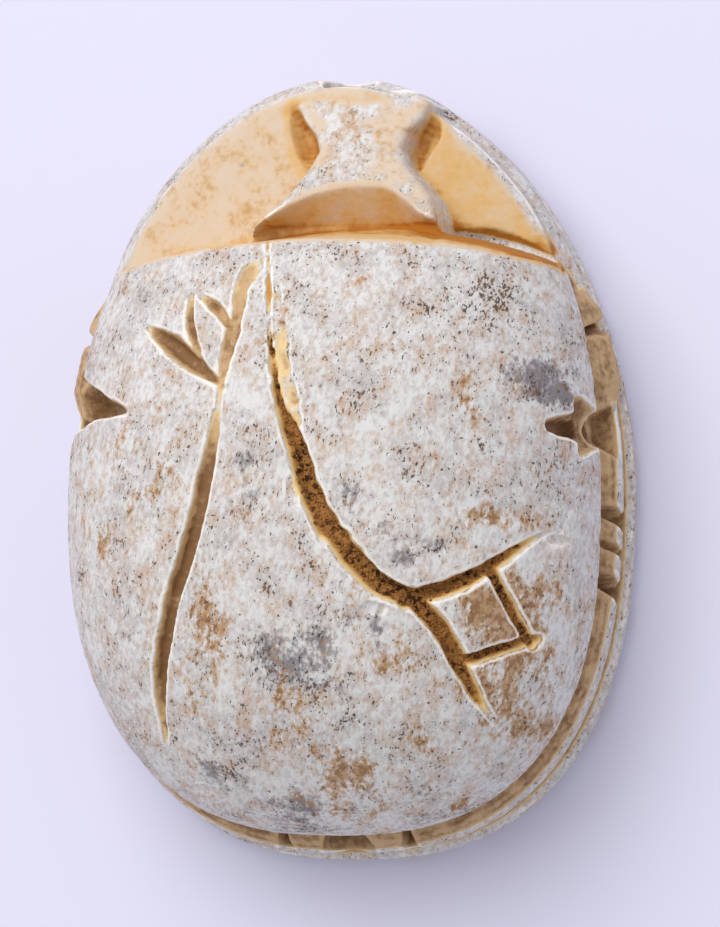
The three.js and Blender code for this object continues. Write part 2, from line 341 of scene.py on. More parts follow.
# x and y of the crest behind the head
CREST = ((-2.5, 6.8), (-1.8, 7.25), (-1.0, 7.85), (-0.2, 8.3), (0.8, 8.6), (1.9, 8.6), (2.8, 8.2),
         (3.4, 7.5), (3.9, 7.1))


# how far from a cut its fill clings, the depths between which it thickens, and the height of a full ridge
FILL_REACH = 0.14
FILL_DEPTHS = (0.02, 0.42)
RIDGE_HEIGHT = 0.012


class Tint(Enum):
    """Kinds of stain; the value names the mark that the finish reads."""

    GREY = "grey"
    OCHRE = "ochre"
    SPECKS = "specks"


@dataclass(frozen=True)
class Stain:
    """A soft-edged stain seen from above: place, half width, half length, turn in degrees, strength."""

    x: float
    y: float
    wide: float
    long: float
    turn: float
    strength: float


STAINS = {
    Tint.GREY: tuple(Stain(*row) for row in (
        (6.85, 2.2, 0.75, 0.55, 20, 1.3), (7.5, 1.65, 0.35, 0.3, 0, 1.0), (1.8, -1.5, 0.3, 0.55, 15, 0.7),
        (2.5, -2.4, 0.55, 0.45, 0, 0.75), (3.4, -3.3, 0.45, 0.35, 0, 0.75),
        (-0.1, -6.3, 1.3, 0.75, -15, 0.95), (0.8, -5.9, 0.6, 0.5, 0, 0.6), (1.7, -5.3, 0.25, 0.35, 0, 0.8),
        (2.5, -5.6, 0.15, 0.5, 5, 1.1), (-1.4, -1.1, 0.7, 0.8, 0, 0.55), (-3.2, -9.6, 0.28, 0.5, 35, 1.1),
        (-0.5, -10.6, 0.8, 0.45, 0, 0.6), (-2.9, 9.4, 0.22, 0.12, 10, 1.3), (0.8, 10.8, 0.3, 0.16, 0, 0.8),
        # the wide weak band at 0.0, -10.6 darkens the whole tail: partly grey staining, partly painted shade
        # where the back curves down away from the light
        (0.0, -10.6, 5.5, 1.5, 0, 0.3), (1.8, 9.6, 0.25, 0.25, 0, 0.6), (4.3, -3.0, 0.25, 0.3, 0, 0.7),
        (5.6, -4.9, 0.5, 0.6, 20, 0.8),
    )),
    Tint.OCHRE: tuple(Stain(*row) for row in (
        (1.2, -9.9, 1.1, 0.85, 20, 1.0), (5.8, -7.4, 0.9, 1.1, 20, 1.1), (6.7, -5.9, 0.5, 0.8, 15, 1.0),
        (6.6, -4.4, 0.8, 0.6, 0, 0.9), (-2.8, -5.9, 0.55, 1.5, -15, 0.8), (-3.1, -4.3, 0.3, 0.8, -15, 0.75),
        (-0.7, -7.8, 0.2, 1.0, -5, 0.95), (0.0, -8.1, 0.2, 0.9, 10, 0.9), (-4.7, -1.3, 0.55, 0.45, 0, 0.7),
        (-6.4, -2.7, 0.5, 0.4, 0, 0.7), (-4.0, -0.7, 0.35, 0.5, 0, 0.65), (5.9, -2.1, 0.9, 0.42, -10, 1.0),
        (1.5, -4.4, 0.4, 0.4, 0, 0.6), (3.2, -5.9, 0.3, 0.5, 10, 0.7), (2.7, -6.7, 0.6, 0.3, 0, 0.75),
        (4.0, -5.3, 0.2, 0.3, 0, 0.6), (3.5, -8.8, 0.3, 0.35, 0, 0.75), (4.2, -10.6, 0.45, 0.25, 0, 0.8),
        (5.6, -4.9, 0.8, 0.9, 20, 1.3), (0.2, 4.0, 0.4, 0.5, 0, 0.5), (1.2, 10.3, 1.3, 0.9, 0, 0.4),
        (5.2, 1.4, 0.7, 0.6, 0, 0.5), (-5.4, 0.2, 0.6, 0.8, 0, 0.5),
    )),
    Tint.SPECKS: tuple(Stain(*row) for row in (
        (5.4, 4.6, 0.9, 0.6, 30, 1.0), (6.2, 3.5, 0.25, 0.25, 0, 1.0), (5.4, 0.1, 0.28, 0.14, -35, 2.2),
        (5.2, 1.4, 0.4, 0.35, 0, 0.6), (4.3, -3.0, 0.2, 0.3, 0, 0.8), (6.9, 2.2, 1.0, 0.8, 0, 0.5),
        (0.2, -6.4, 1.6, 1.0, 0, 0.5), (-0.4, 2.9, 0.3, 0.7, 0, 0.8), (3.9, 3.0, 1.0, 1.2, 0, 0.35),
        (1.0, -2.2, 1.2, 1.2, 0, 0.3),
    )),
}


# ---- the block of stone


def smooth_min(a: Array, b: Array, blend: float) -> Array:
    """Joins two fields with a fillet of about the size of blend."""
    h = np.clip(0.5 + 0.5 * (b - a) / blend, 0, 1)
    return b + (a - b) * h - blend * h * (1 - h)


def smooth_max(a: Array, b: Array, blend: float) -> Array:
    """Keeps what two fields share, with the edge rounded."""
    return -smooth_min(-a, -b, blend)


def ease(value: Array, low: float, high: float) -> Array:
    """0 at low, 1 at high and a smooth step between them."""
    t = np.clip((value - low) / (high - low), 0, 1)
    return t * t * (3 - 2 * t)


def surface_points(height: Callable[[Array, Array], Array], x: Array, y: Array) -> Array:
    """Points of a height function over x and y."""
    return np.stack([x, y, height(x, y)], axis=1)


def surface_normals(height: Callable[[Array, Array], Array], x: Array, y: Array) -> Array:
    """Upward normals of a height function over x and y."""
    h = 0.02
    slope_x = (height(x + h, y) - height(x - h, y)) / (2 * h)
    slope_y = (height(x, y + h) - height(x, y - h)) / (2 * h)
    normal = np.stack([-slope_x, -slope_y, np.ones_like(slope_x)], axis=1)
    return normal / np.linalg.norm(normal, axis=1, keepdims=True)


@dataclass
class StoneBlock:
    """A block of voxels that holds signed distances, negative inside the stone.

    Args:
        form: The beetle's sizes.
        voxel: Edge of one voxel.
        margin: Empty room kept around the stone.
        seed: Start of the random wander of its surfaces.
    """

    form: Form
    voxel: float = 0.07
    margin: float = 0.28
    seed: int = 11
    cuts: dict[Fill, Array] = field(default_factory=dict)

    def __post_init__(self) -> None:
        """Lays out the axes and the random wander."""
        form = self.form
        reach_x, reach_y = form.width / 2 + self.margin, form.length / 2 + self.margin
        self.xs = np.arange(-reach_x, reach_x + self.voxel, self.voxel, dtype=np.float32)
        self.ys = np.arange(-reach_y, reach_y + self.voxel, self.voxel, dtype=np.float32)
        self.zs = np.arange(-self.margin, form.height + self.margin, self.voxel, dtype=np.float32)
        self.x = self.xs[:, None, None]
        self.y = self.ys[None, :, None]
        self.z = self.zs[None, None, :]
        self.shape = (len(self.xs), len(self.ys), len(self.zs))
        self.random = np.random.default_rng(self.seed)
        self.wander = self.noise(0.5) + 0.5 * self.noise(0.22)

    def noise(self, size: float) -> Array:
        """Smooth random values from about -1 to 1.

        Args:
            size: Distance between the random knots.

        Returns:
            One value for each voxel.
        """
        counts = [int(np.ceil(n * self.voxel / size)) + 3 for n in self.shape]
        values = self.random.uniform(-1, 1, counts).astype(np.float32)
        for axis, n in enumerate(self.shape):
            place = np.arange(n) * self.voxel / size
            low = place.astype(int)
            t = (place - low).astype(np.float32)
            t = (t * t * (3 - 2 * t)).reshape([-1 if k == axis else 1 for k in range(3)])
            values = values.take(low, axis) * (1 - t) + values.take(low + 1, axis) * t
        return values

    def rough_out(self) -> None:
        """Saws out the base, the leg band and the back."""
        form = self.form
        x, y, z = self.x[:, :, 0], self.y[:, :, 0], self.zs
        base, dome = form.base.distance(x, y), form.dome.distance(x, y)
        heights = (0, 0.3, form.base_top - 0.25, form.base_top, form.base_top + 0.25, form.base_top + 0.6,
                   form.leg_top - 0.45, form.leg_top, form.dome_edge - 0.4, form.dome_edge - 0.2)
        offsets = (-0.3, -0.1, 0, -0.12, -0.5, -0.22, -0.2, -0.5, -0.45, -0.4)
        profile = np.interp(z, heights, offsets)
        profile = np.convolve(np.pad(profile, 2, "edge"), np.ones(5) / 5, "valid").astype(np.float32)
        front = ease(self.ys, 4.5, 8.0)[None, :, None]
        share = np.clip((z - form.leg_top) / (form.dome_edge - 0.4 - form.leg_top), 0, 1)
        share = share * (1 - 0.6 * front)
        upper = ease(z, form.base_top, form.base_top + 0.5)
        foreleg = ease(self.ys, 1.7, 2.6) * (1 - ease(self.ys, 4.6, 5.6))
        profile = profile + form.front_bulge * upper * front
        profile = profile + form.foreleg_bulge * upper * foreleg[None, :, None]
        side = base[:, :, None] * (1 - share) + dome[:, :, None] * share - profile
        lower = np.maximum(np.maximum(side, -self.z), self.z - form.dome_edge - 0.5)
        self.back = self.back_field().astype(np.float32)
        self.field = smooth_min(lower, self.back, 0.08).astype(np.float32)

    def back_field(self) -> Array:
        """The domed back, down to its crisp edge."""
        form = self.form
        x, y = self.x[:, :, 0], self.y[:, :, 0]
        reach = form.dome.reach(x, y)
        radius = form.dome.radius(x, y - form.dome.y)
        rise = np.broadcast_to(form.rise(y), reach.shape)[:, :, None]
        up = np.maximum(self.z - form.dome_edge, 0) / rise
        power, crown = form.dome_power, form.crown_power
        level = up ** (1 / crown) + (reach ** power)[:, :, None] - 1
        slope_up = up ** (1 / crown - 1) / crown / rise
        slope_out = (power * reach ** 1.2 / radius)[:, :, None]
        dome = level / np.sqrt(slope_up ** 2 + slope_out ** 2 + 1e-4)
        return np.maximum(dome, form.dome_edge - 0.04 - self.z)

    def cut_front(self) -> None:
        """Cuts the facets and the shoulder wall in front of the back."""
        form = self.form
        x, y = self.x[:, :, 0], self.y[:, :, 0]
        rim = np.clip((form.base.distance(x, y) + 0.9) / 0.5, 0, 1.5)
        facet = (form.facet_height(x, y) - 0.2 * rim ** 2)[:, :, None]
        wall = form.wall_distance(self.x, self.y, self.z)
        self.field = smooth_max(self.field, smooth_min(self.z - facet, wall, 0.05), 0.05)

    def add_head(self) -> None:
        """Adds the head and hollows the nape behind its crest."""
        form = self.form
        y_at, left_at, right_at, top_at = np.array(HEAD_STATIONS).T
        left = np.interp(self.ys, y_at, left_at)[None, :, None]
        right = np.interp(self.ys, y_at, right_at)[None, :, None]
        top = np.interp(self.ys, y_at, top_at)[None, :, None]
        middle, half = (left + right) / 2, (right - left) / 2
        crown = top + 0.12 * (1 - np.clip((self.x - middle) / half, -1, 1) ** 2)
        sides = np.abs(self.x - middle) - half - 0.12 * np.clip(top - self.z, 0, 2)
        ends = np.maximum(y_at[0] - self.y, self.y - y_at[-1])
        ends = np.maximum(ends, 2.0 - self.z)
        self.head = smooth_max(smooth_max(sides, self.z - crown, 0.25), ends, 0.1)
        self.field = smooth_min(self.field, self.head, 0.12)
        crest_x, crest_y = np.array(CREST).T
        crest = np.interp(self.xs, crest_x, crest_y, left=0, right=0)[:, None, None]
        foot = form.shoulder_edge(self.x) + 0.8
        slope = 1.2 / np.maximum(crest - foot, 0.25)
        nape = form.nape_floor + np.maximum(self.y - foot, 0) * slope + 0.7 * ease(self.x, 2.0, 3.5)
        wall = form.wall_distance(self.x, self.y, self.z)
        self.nape = -np.minimum(np.minimum(self.z - nape, crest - self.y), wall)
        self.field = smooth_max(self.field, -self.nape, 0.05).astype(np.float32)

    def carve(self, cut: Cut) -> None:
        """Takes one cut out of the stone and remembers where it lies.

        Each stretch of the route is a trough whose width tapers with depth; the stretches are joined.

        Args:
            cut: The cut to make.
        """
        height = self.form.back_height if cut.surface is Surface.BACK else self.form.facet_height
        rows = cut.route(0.16)
        places = surface_points(height, rows[:, 0], rows[:, 1])
        ups = surface_normals(height, rows[:, 0], rows[:, 1])
        gone = self.cuts.setdefault(cut.fill, np.full(self.shape, 1.0, np.float32))
        own = np.full(self.shape, 1.0, np.float32)
        for k in range(len(rows) - 1):
            start, end = places[k], places[k + 1]
            reach = max(rows[k, 2], rows[k, 3]) * 0.8 + 0.5
            block = self.block(np.minimum(start, end) - reach, np.maximum(start, end) + reach)
            x, y, z = self.x[block[0]], self.y[:, block[1]], self.z[:, :, block[2]]
            along = end - start
            share = ((x - start[0]) * along[0] + (y - start[1]) * along[1] + (z - start[2]) * along[2])
            share = np.clip(share / (along @ along), 0, 1)
            off = [v - s - share * a for v, s, a in zip((x, y, z), start, along)]
            up = (ups[k] + ups[k + 1]) / 2
            up /= np.linalg.norm(up)
            above = off[0] * up[0] + off[1] * up[1] + off[2] * up[2]
            left = np.cross(up, along) / np.linalg.norm(along)
            sunk = cut.lean * rows[k, 2] * np.clip(-above / rows[k, 3], 0, 1)
            off = [v - sunk * part for v, part in zip(off, left)]
            aside = np.sqrt(np.maximum(off[0] ** 2 + off[1] ** 2 + off[2] ** 2 - above ** 2, 0))
            width = rows[k, 2] + share * (rows[k + 1, 2] - rows[k, 2])
            depth = rows[k, 3] + share * (rows[k + 1, 3] - rows[k, 3])
            taper = cut.floor + (1 - cut.floor) * np.clip(1 + above / depth, 0, 3)
            wander = cut.rough * self.wander[block]
            inside = smooth_max((aside - width / 2 * taper + wander) * 0.85, -above - depth + wander, 0.1)
            own[block] = np.minimum(own[block], inside)
        np.minimum(gone, own, out=gone)
        self.field = smooth_max(self.field, -own, 0.04)

    def chip(self, chip: Chip) -> None:
        """Knocks one shallow flake off the back.

        Args:
            chip: The flake.
        """
        height = float(self.form.back_height(np.array(chip.x), np.array(chip.y)))
        up = surface_normals(self.form.back_height, np.array([chip.x]), np.array([chip.y]))[0]
        middle = np.array([chip.x, chip.y, height])
        reach = max(chip.wide, chip.long) + 0.5
        block = self.block(middle - reach, middle + reach)
        axes = (self.x[block[0]], self.y[:, block[1]], self.z[:, :, block[2]])
        off = [axis - part for axis, part in zip(axes, middle)]
        above = off[0] * up[0] + off[1] * up[1] + off[2] * up[2]
        spread = np.sqrt((off[0] / chip.wide) ** 2 + (off[1] / chip.long) ** 2)
        floor = -above - chip.depth * (1 - spread ** 4) + 0.5 * chip.depth * self.wander[block]
        self.field[block] = smooth_max(self.field[block], -floor * np.ones_like(self.field[block]), 0.02)

    def block(self, low: Array, high: Array) -> tuple[slice, slice, slice]:
        """The voxels between two corners.

        Args:
            low: Lower corner in millimetres.
            high: Upper corner in millimetres.

        Returns:
            A slice along each axis.
        """
        parts = []
        for axis, a, b in zip((self.xs, self.ys, self.zs), low, high):
            first = max(0, int((a - axis[0]) / self.voxel))
            parts.append(slice(first, max(first, int((b - axis[0]) / self.voxel) + 2)))
        return parts[0], parts[1], parts[2]

    def part_legs(self) -> None:
        """Parts the folded legs with wedge-shaped cuts on both sides, and ends them at the tail."""
        outline = self.form.base.distance(self.x[:, :, 0], self.y[:, :, 0])[:, :, None]
        for cut in LEG_CUTS:
            deep = outline + 0.35 + cut.depth
            middle = cut.y + cut.lean * (self.z - cut.low) / (cut.high - cut.low)
            aside = np.abs(self.y - middle) - cut.width * np.clip(0.25 + 0.4 * deep, 0.1, 0.8)
            wedge = smooth_max(smooth_max(aside, -deep, 0.15),
                               smooth_max(cut.low - self.z, self.z - cut.high, 0.15), 0.15)
            self.field = smooth_max(self.field, -wedge, 0.12)
        for x in TAIL_CUTS:
            deep = outline + 1.15
            aside = np.abs(self.x - x) - np.clip(0.05 + 0.2 * deep, 0.05, 0.4)
            wedge = smooth_max(smooth_max(aside, -deep, 0.1), np.abs(self.z - 2.95) - 0.95, 0.1)
            self.field = smooth_max(self.field, -np.maximum(wedge, self.y), 0.1)

    def bore(self) -> None:
        """Drills the lengthwise stringing hole."""
        form = self.form
        hole = np.hypot(self.x - form.bore_x, self.z - form.bore_height) - form.bore_radius
        self.field = smooth_max(self.field, -hole, 0.15)

    def carve_all(self) -> None:
        """Makes every cut, in the order of the real work."""
        self.rough_out()
        self.cut_front()
        for cut in FACET_PITS.values():
            self.carve(cut)
        self.add_head()
        self.uncut = self.field.copy()
        for cut in (*BACK_CUTS.values(), *NOTCHES.values()):
            self.carve(cut)
        for chip in CHIPS:
            self.chip(chip)
        self.part_legs()
        self.bore()
        self.field = self.field + 0.012 * self.wander * np.clip(self.z / 0.3, 0, 1)

    def mesh(self, name: str) -> bpy.types.Object:
        """Turns the stone into one closed mesh, in millimetres.

        Args:
            name: Name of the new object.

        Returns:
            The object, linked to the scene.
        """
        grid = vdb.FloatGrid(background=1.0)
        levels = np.clip(self.field / self.voxel, -3, 3)
        grid.copyFromArray(np.ascontiguousarray(levels, dtype=np.float32))
        points, _, quads = grid.convertToPolygons()
        points = points * self.voxel + (self.xs[0], self.ys[0], self.zs[0])
        data = bpy.data.meshes.new(name)
        data.from_pydata(points, [], quads)
        piece = bpy.data.objects.new(name, data)
        bpy.context.scene.collection.objects.link(piece)
        return piece

    def sample(self, values: Array, points: Array) -> Array:
        """Reads a voxel field at points, between the voxels' middles.

        Args:
            values: The field.
            points: Rows of x, y and z in millimetres.

        Returns:
            One value for each point.
        """
        place = (points - (self.xs[0], self.ys[0], self.zs[0])) / self.voxel
        low = np.clip(place.astype(int), 0, np.array(self.shape) - 2)
        t = np.clip(place - low, 0, 1)
        total = np.zeros(len(points))
        for corner in np.ndindex(2, 2, 2):
            weight = np.prod(np.where(corner, t, 1 - t), axis=1)
            i, j, k = (low + corner).T
            total += weight * values[i, j, k]
        return total

    def blurred(self, reach: int) -> Array:
        """The field averaged over a small box, which lies above it at ridges and below in hollows.

        Args:
            reach: Voxels on each side.

        Returns:
            The averaged field.
        """
        values = np.clip(self.field, -0.6, 0.6)
        width = 2 * reach + 1
        for axis in range(3):
            pad = [(reach + 1, reach) if k == axis else (0, 0) for k in range(3)]
            total = np.cumsum(np.pad(values, pad, "edge"), axis=axis, dtype=np.float32)
            count = total.shape[axis]
            upper, lower = range(width, count), range(count - width)
            values = (total.take(upper, axis) - total.take(lower, axis)) / width
        return values

    def marks(self, points: Array) -> dict[str, Array]:
        """Says for each point what the finish has to know about its place.

        Args:
            points: Rows of x, y and z in millimetres.

        Returns:
            A share for soil, dust together with the leg band's painted shade, amber together with painted
            shade in the front's corners, ridges and each kind of stain.
        """
        x, y, z = points.T
        depth = -self.sample(self.uncut, points)
        marks = {}
        for fill in (Fill.SOIL, Fill.DUST):
            near = np.exp(-(self.sample(self.cuts[fill], points) / FILL_REACH) ** 2)
            marks[fill.value] = ease(depth, *FILL_DEPTHS) * near
        # the leg band's dull brown, partly painted shade, goes into the same mark as the dust
        marks[Fill.DUST.value] = np.maximum(marks[Fill.DUST.value], self.shaded_flank(points))
        # amber where the pale skin is gone, deepened with painted shade in the front's corners
        marks[Fill.AMBER.value] = self.worn_and_shaded_front(points)
        ridge = self.sample(self.blurred(1), points) - self.sample(self.field, points)
        marks["ridge"] = np.clip(ridge / RIDGE_HEIGHT, -1.5, 1.5)
        for tint, stains in STAINS.items():
            marks[tint.value] = np.zeros(len(points))
            for stain in stains:
                turn = math.radians(stain.turn)
                across = (x - stain.x) * math.cos(turn) + (y - stain.y) * math.sin(turn)
                along = (y - stain.y) * math.cos(turn) - (x - stain.x) * math.sin(turn)
                spread = (across / stain.wide) ** 2 + (along / stain.long) ** 2
                marks[tint.value] += stain.strength * np.exp(-0.7 * spread) * ease(z, 3.5, 4.2)
        return marks

    def worn_and_shaded_front(self, points: Array) -> Array:
        """Where the facets, pits, nape and shoulder wall have lost their pale skin, and where painted shade
        deepens that amber: along the foot of the shoulder wall, most on the right where the wall faces away
        from the light, in the pits and in the deepest corners.

        Args:
            points: Rows of x, y and z in millimetres.

        Returns:
            0 on pale stone, about 0.5 on the facets and over 1 where painted shade is added, in the deepest
            corners.
        """
        form = self.form
        x, y, z = points.T
        wall = form.wall_distance(x, y, z)
        head = self.sample(self.head, points)
        front = ease(wall, -0.12, -0.03) * ease(z, 2.9, 3.3)
        front = front * ease(self.sample(self.back, points), -4.5, -3.5)
        rim = 1 - ease(form.base.distance(x, y), -0.75, -0.45)
        off_head = ease(head, -0.04, 0.08)
        low = 1 - ease(z, 6.2, 7.6)
        nape = ease(-self.sample(self.nape, points), -0.22, -0.08) * low
        facet = rim * (0.42 + 0.38 * ease(x, form.head_x - 0.8, form.head_x + 0.8)) * off_head
        # the pits get a deeper amber: painted shade in their recesses
        pits = 1.1 * np.exp(-(self.sample(self.cuts[Fill.AMBER], points) / 0.25) ** 2) * off_head
        # painted shade along the foot of the shoulder wall, stronger towards the right, where the wall faces
        # away from the light
        foot = (0.75 + ease(x, 2.0, 4.2) * low + 0.4 * nape) * np.exp(-(np.maximum(wall, 0) / 0.4) ** 2)
        hollow = (0.7 - 0.4 * ease(x, 2.0, 3.2)) * nape
        return front * np.maximum.reduce([facet, pits, foot * np.maximum(off_head, nape), hollow])

    def shaded_flank(self, points: Array) -> Array:
        """Where the leg band between the base and the back's edge turns a dull brown: partly its own colour,
        partly painted shade under the back's overhanging edge.

        Args:
            points: Rows of x, y and z in millimetres.

        Returns:
            0 elsewhere and 1 in the crease over the base, whose darkest tone is painted shade.
        """
        form = self.form
        x, y, z = points.T
        outline = form.base.distance(x, y)
        # the band and the foreleg lie under the back's overhanging edge: their dull brown is partly painted
        # shade
        under_dome = 1 - ease(z, 3.98, 4.12)
        band = ease(-outline, 0.28, 0.4) * ease(z, 1.35, 1.5) * under_dome
        # painted shade in the crease over the base
        crease = np.exp(-((z - form.base_top - 0.25) / 0.22) ** 2) * ease(-outline, 0.2, 0.35)
        foreleg = ease(y, 1.6, 2.4) * (1 - ease(y, 4.8, 5.6)) * ease(z, 1.5, 1.9) * under_dome
        return np.maximum.reduce([0.75 * band, crease, 0.7 * foreleg]) * (1 - ease(y, 5.4, 6.2))

# ---- node trees


class Value:
    """A number socket that can be used in arithmetic, which adds Math nodes to its tree."""

    def __init__(self, tree: Tree, socket: bpy.types.NodeSocket) -> None:
        """Wraps a socket of a tree."""
        self.tree = tree
        self.socket = socket

    def math(self, operation: str, *others: Any, clamp: bool = False) -> Value:
        """Adds one Math node with this value first.

        Args:
            operation: The node's operation.
            others: The values or numbers after this one.
            clamp: Whether the result stays between 0 and 1.

        Returns:
            The result.
        """
        settings = {"operation": operation, "use_clamp": clamp}
        return self.tree.value("ShaderNodeMath", settings, dict(enumerate((self, *others))))

    def __add__(self, other: Any) -> Value:
        """Sum."""
        return self.math("ADD", other)

    def __sub__(self, other: Any) -> Value:
        """Difference."""
        return self.math("SUBTRACT", other)

    def __rsub__(self, other: float) -> Value:
        """Difference from a plain number."""
        return self.math("MULTIPLY_ADD", -1.0, other)

    def __mul__(self, other: Any) -> Value:
        """Product."""
        return self.math("MULTIPLY", other)

    __radd__ = __add__
    __rmul__ = __mul__

    def clipped(self) -> Value:
        """The value kept between 0 and 1."""
        return self.math("ADD", 0.0, clamp=True)

    def step(self, low: Any, high: Any) -> Value:
        """0 below low, 1 above high and a smooth step between them."""
        return self.tree.value("ShaderNodeMapRange", {"interpolation_type": "SMOOTHSTEP"},
                               {"Value": self, "From Min": low, "From Max": high})


class Tree:
    """A node tree and the one method that adds nodes to it."""

    def __init__(self, tree: bpy.types.NodeTree) -> None:
        """Wraps an empty tree."""
        self.tree = tree

    def node(self, kind: str, settings: dict[str, Any] | None = None,
             sockets: dict[Any, Any] | None = None) -> bpy.types.Node:
        """Adds one node.

        Args:
            kind: The node's type.
            settings: Its settings, set before the sockets.
            sockets: A value, a socket or a Value for each input, by name or number.

        Returns:
            The new node.
        """
        node = self.tree.nodes.new(kind)
        for name, setting in (settings or {}).items():
            setattr(node, name, setting)
        for name, value in (sockets or {}).items():
            source = value.socket if isinstance(value, Value) else value
            if isinstance(source, bpy.types.NodeSocket):
                self.tree.links.new(source, node.inputs[name])
            else:
                node.inputs[name].default_value = source
        return node

    def value(self, kind: str, settings: dict[str, Any] | None = None,
              sockets: dict[Any, Any] | None = None, output: Any = 0) -> Value:
        """Adds a node and wraps one of its outputs."""
        return Value(self, self.node(kind, settings, sockets).outputs[output])

    def mark(self, name: str) -> Value:
        """A mark of the surface, as the material reads it."""
        return self.value("ShaderNodeAttribute", {"attribute_name": name}, output="Fac")

    def noise(self, place: Any, scale: float, detail: float = 3.0, roughness: float = 0.55) -> Value:
        """Cloudy noise from about 0.2 to 0.8, with scale in knots a millimetre."""
        return self.value("ShaderNodeTexNoise", None, {"Vector": place, "Scale": scale, "Detail": detail,
                                                       "Roughness": roughness})

    def mix(self, share: Any, first: Any, second: Any) -> Any:
        """Blends two colours.

        Args:
            share: 0 for the first colour and 1 for the second.
            first: Colour or colour socket.
            second: Colour or colour socket.

        Returns:
            The colour socket of the result.
        """
        node = self.node("ShaderNodeMix", {"data_type": "RGBA", "clamp_factor": True},
                         {0: share, 6: first, 7: second})
        return node.outputs[2]


def rgb(red: int, green: int, blue: int) -> tuple[float, float, float, float]:
    """A colour for a socket, from display values of 0 to 255."""
    def linear(value: int) -> float:
        """One channel in linear light."""
        share = value / 255
        return share / 12.92 if share <= 0.04045 else ((share + 0.055) / 1.055) ** 2.4
    return linear(red), linear(green), linear(blue), 1.0


# ---- finish


